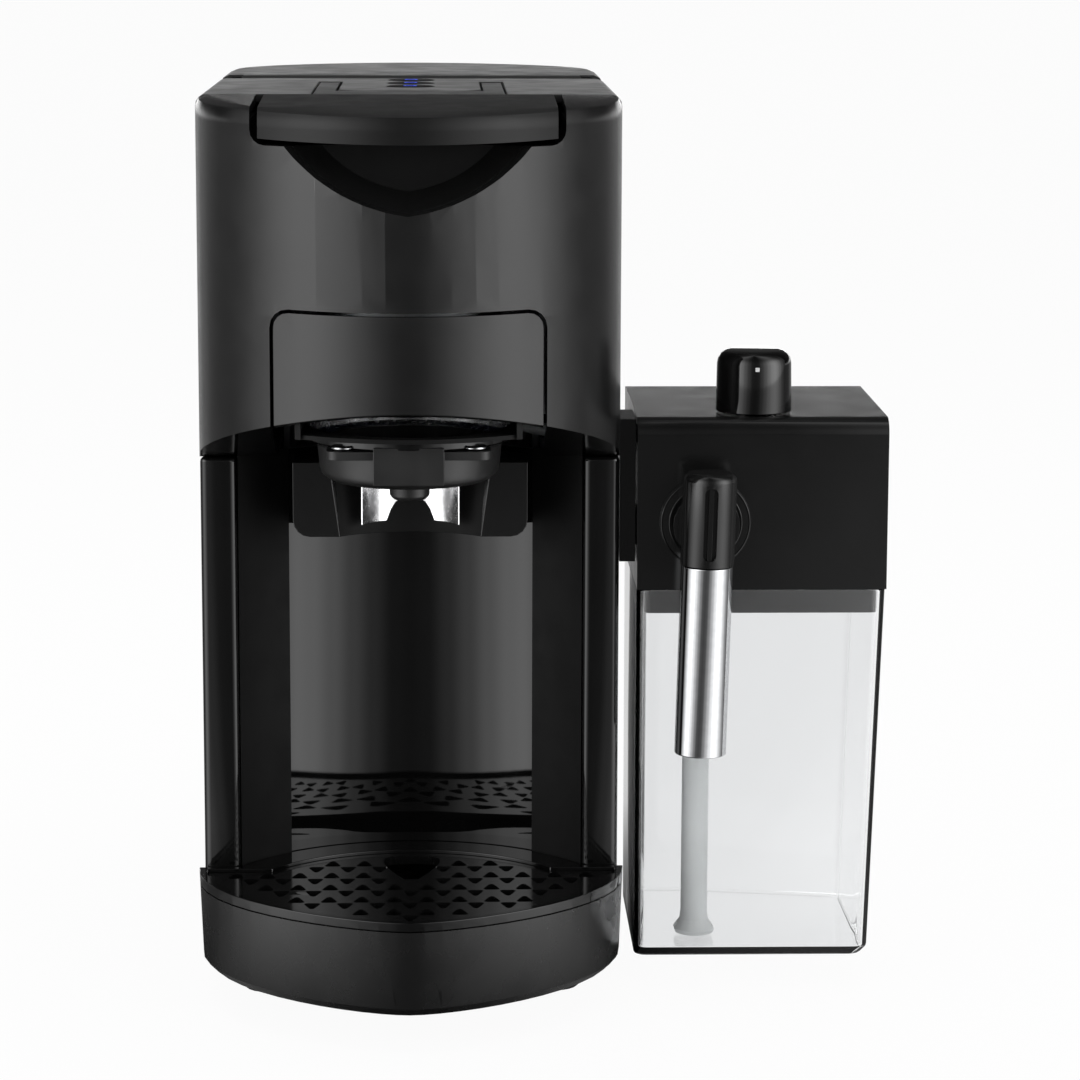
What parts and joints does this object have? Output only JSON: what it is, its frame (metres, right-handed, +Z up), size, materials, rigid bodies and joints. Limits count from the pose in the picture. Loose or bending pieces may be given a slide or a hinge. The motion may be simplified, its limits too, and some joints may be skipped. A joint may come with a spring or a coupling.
{
  "type": "pod coffee machine",
  "caption": "Slim black pod coffee machine with a rounded front, a lever over a pull-out pod drawer, a drip tray, a rear water tank and a clear milk carafe docked on its right flank.",
  "frame": {"origin": "on the table under the middle of the whole box, machine and carafe together", "axes": "+Z up, the front with its cup bay faces -Y, the water tank is at +Y and the milk carafe stands on the +X flank"},
  "size_m": [0.2482, 0.339, 0.3262],
  "materials": {
    "satin_black": "satin black moulded plastic",
    "satin_top": "satin dark grey moulded plastic",
    "gloss_black": "polished black plastic",
    "dark_plastic": "dark moulded plastic",
    "rubber": "black rubber",
    "chrome": "mirror chrome",
    "steel": "plain steel",
    "aluminium": "cast aluminium",
    "clear_plastic": "clear polished plastic",
    "smoke_plastic": "smoked clear plastic",
    "milky_plastic": "milky tubing",
    "blue_glow": "lit blue light guide",
    "circuit_green": "green circuit board"
  },
  "bodies": {
    "chassis": {"base_pan": "satin_black", "foot_front_left": "rubber", "foot_front_right": "rubber", "foot_rear_left": "rubber", "foot_rear_right": "rubber", "body_shell": "satin_top", "front_housing": "satin_black", "finger_scoop": "gloss_black", "column_left": "gloss_black", "column_right": "gloss_black", "splash_wall": "gloss_black", "spout_cowl": "gloss_black", "rear_shell": "satin_black", "service_panel": "satin_black", "power_module": "dark_plastic", "button_light_guide": "blue_glow", "drawer_rail_left": "dark_plastic", "drawer_rail_right": "dark_plastic", "inner_frame": "steel", "brew_head": "aluminium", "thermoblock": "aluminium", "water_pump": "steel", "control_board": "circuit_green", "suction_line": "milky_plastic", "pressure_line": "milky_plastic", "brew_line": "milky_plastic", "steam_line": "milky_plastic", "tank_shelf": "dark_plastic", "carafe_dock": "gloss_black", "dock_seal": "rubber", "steam_nozzle": "steel"},
    "lever_body": {"lever": "satin_black"},
    "piston": {"brew_piston": "dark_plastic"},
    "pod_drawer": {"drawer_front": "satin_black", "pod_carriage": "dark_plastic", "pod_seat": "chrome", "pod_holder": "dark_plastic", "pod_pin_left": "chrome", "pod_pin_right": "chrome", "spout_nozzle": "dark_plastic"},
    "button_front": {"button_1": "gloss_black"},
    "button_middle": {"button_2": "gloss_black"},
    "button_rear": {"button_3": "gloss_black"},
    "rocker": {"power_rocker": "dark_plastic"},
    "tray": {"drip_tray": "satin_black", "tray_rim": "gloss_black"},
    "grid": {"drip_grid": "dark_plastic"},
    "float": {"level_float": "dark_plastic"},
    "tank": {"water_tank": "smoke_plastic"},
    "lid": {"tank_lid": "satin_top"},
    "valve": {"tank_valve": "dark_plastic"},
    "carafe_head": {"carafe_lid": "gloss_black", "lid_insert": "dark_plastic", "froth_chamber": "dark_plastic", "suction_tube": "milky_plastic"},
    "container": {"carafe_container": "clear_plastic"},
    "knob": {"froth_knob": "gloss_black"},
    "lance": {"lance_elbow": "dark_plastic", "lance_sleeve": "chrome"}
  },
  "joints": [
    {"name": "lever_hinge", "type": "hinge", "parent": "chassis", "child": "lever_body", "pos_m": [-0.04716, -0.0115, 0.3195], "axis": [-1, 0, 0], "range_deg": [0, 75]},
    {"name": "piston_lift", "type": "slide", "parent": "chassis", "child": "piston", "axis": [0, 0, 1], "range_m": [0, 0.0121]},
    {"name": "drawer_slide", "type": "slide", "parent": "chassis", "child": "pod_drawer", "axis": [0, -1, 0], "range_m": [0, 0.07]},
    {"name": "button_front_press", "type": "slide", "parent": "chassis", "child": "button_front", "axis": [0, 0, -1], "range_m": [0, 0.0012], "stiffness_N_per_m": 500, "springref_m": -0.0006},
    {"name": "button_middle_press", "type": "slide", "parent": "chassis", "child": "button_middle", "axis": [0, 0, -1], "range_m": [0, 0.0012], "stiffness_N_per_m": 500, "springref_m": -0.0006},
    {"name": "button_rear_press", "type": "slide", "parent": "chassis", "child": "button_rear", "axis": [0, 0, -1], "range_m": [0, 0.0012], "stiffness_N_per_m": 500, "springref_m": -0.0006},
    {"name": "rocker_tilt", "type": "hinge", "parent": "chassis", "child": "rocker", "pos_m": [-0.03216, 0.1623, 0.044], "axis": [1, 0, 0], "range_deg": [-8, 8]},
    {"name": "tray_slide", "type": "slide", "parent": "chassis", "child": "tray", "axis": [0, -1, 0], "range_m": [0, 0.09]},
    {"name": "grid_lift", "type": "slide", "parent": "tray", "child": "grid", "axis": [0, 0, 1], "range_m": [0, 0.04]},
    {"name": "float_rise", "type": "slide", "parent": "tray", "child": "float", "axis": [0, 0, 1], "range_m": [0, 0.008]},
    {"name": "tank_lift", "type": "slide", "parent": "chassis", "child": "tank", "axis": [0, 0, 1], "range_m": [0, 0.14]},
    {"name": "lid_hinge", "type": "hinge", "parent": "tank", "child": "lid", "pos_m": [-0.04716, 0.0458, 0.322], "axis": [1, 0, 0], "range_deg": [0, 95]},
    {"name": "valve_lift", "type": "slide", "parent": "tank", "child": "valve", "axis": [0, 0, 1], "range_m": [0, 0.0025], "stiffness_N_per_m": 200, "springref_m": -0.0005},
    {"name": "carafe_undock", "type": "slide", "parent": "chassis", "child": "carafe_head", "axis": [1, 0, 0], "range_m": [0, 0.06]},
    {"name": "container_unclip", "type": "slide", "parent": "carafe_head", "child": "container", "axis": [0, 0, -1], "range_m": [0, 0.012]},
    {"name": "knob_turn", "type": "hinge", "parent": "carafe_head", "child": "knob", "pos_m": [0.07713, -0.0785, 0.211], "axis": [0, 0, 1], "range_deg": [0, 120]},
    {"name": "lance_swivel", "type": "hinge", "parent": "carafe_head", "child": "lance", "pos_m": [0.05843, -0.0985, 0.1737], "axis": [0, 1, 0], "range_deg": [0, 75]}
  ],
  "couplings": [
    {"joint": "piston_lift", "follows": "lever_hinge", "m_per_rad": 0.009167}
  ]
}
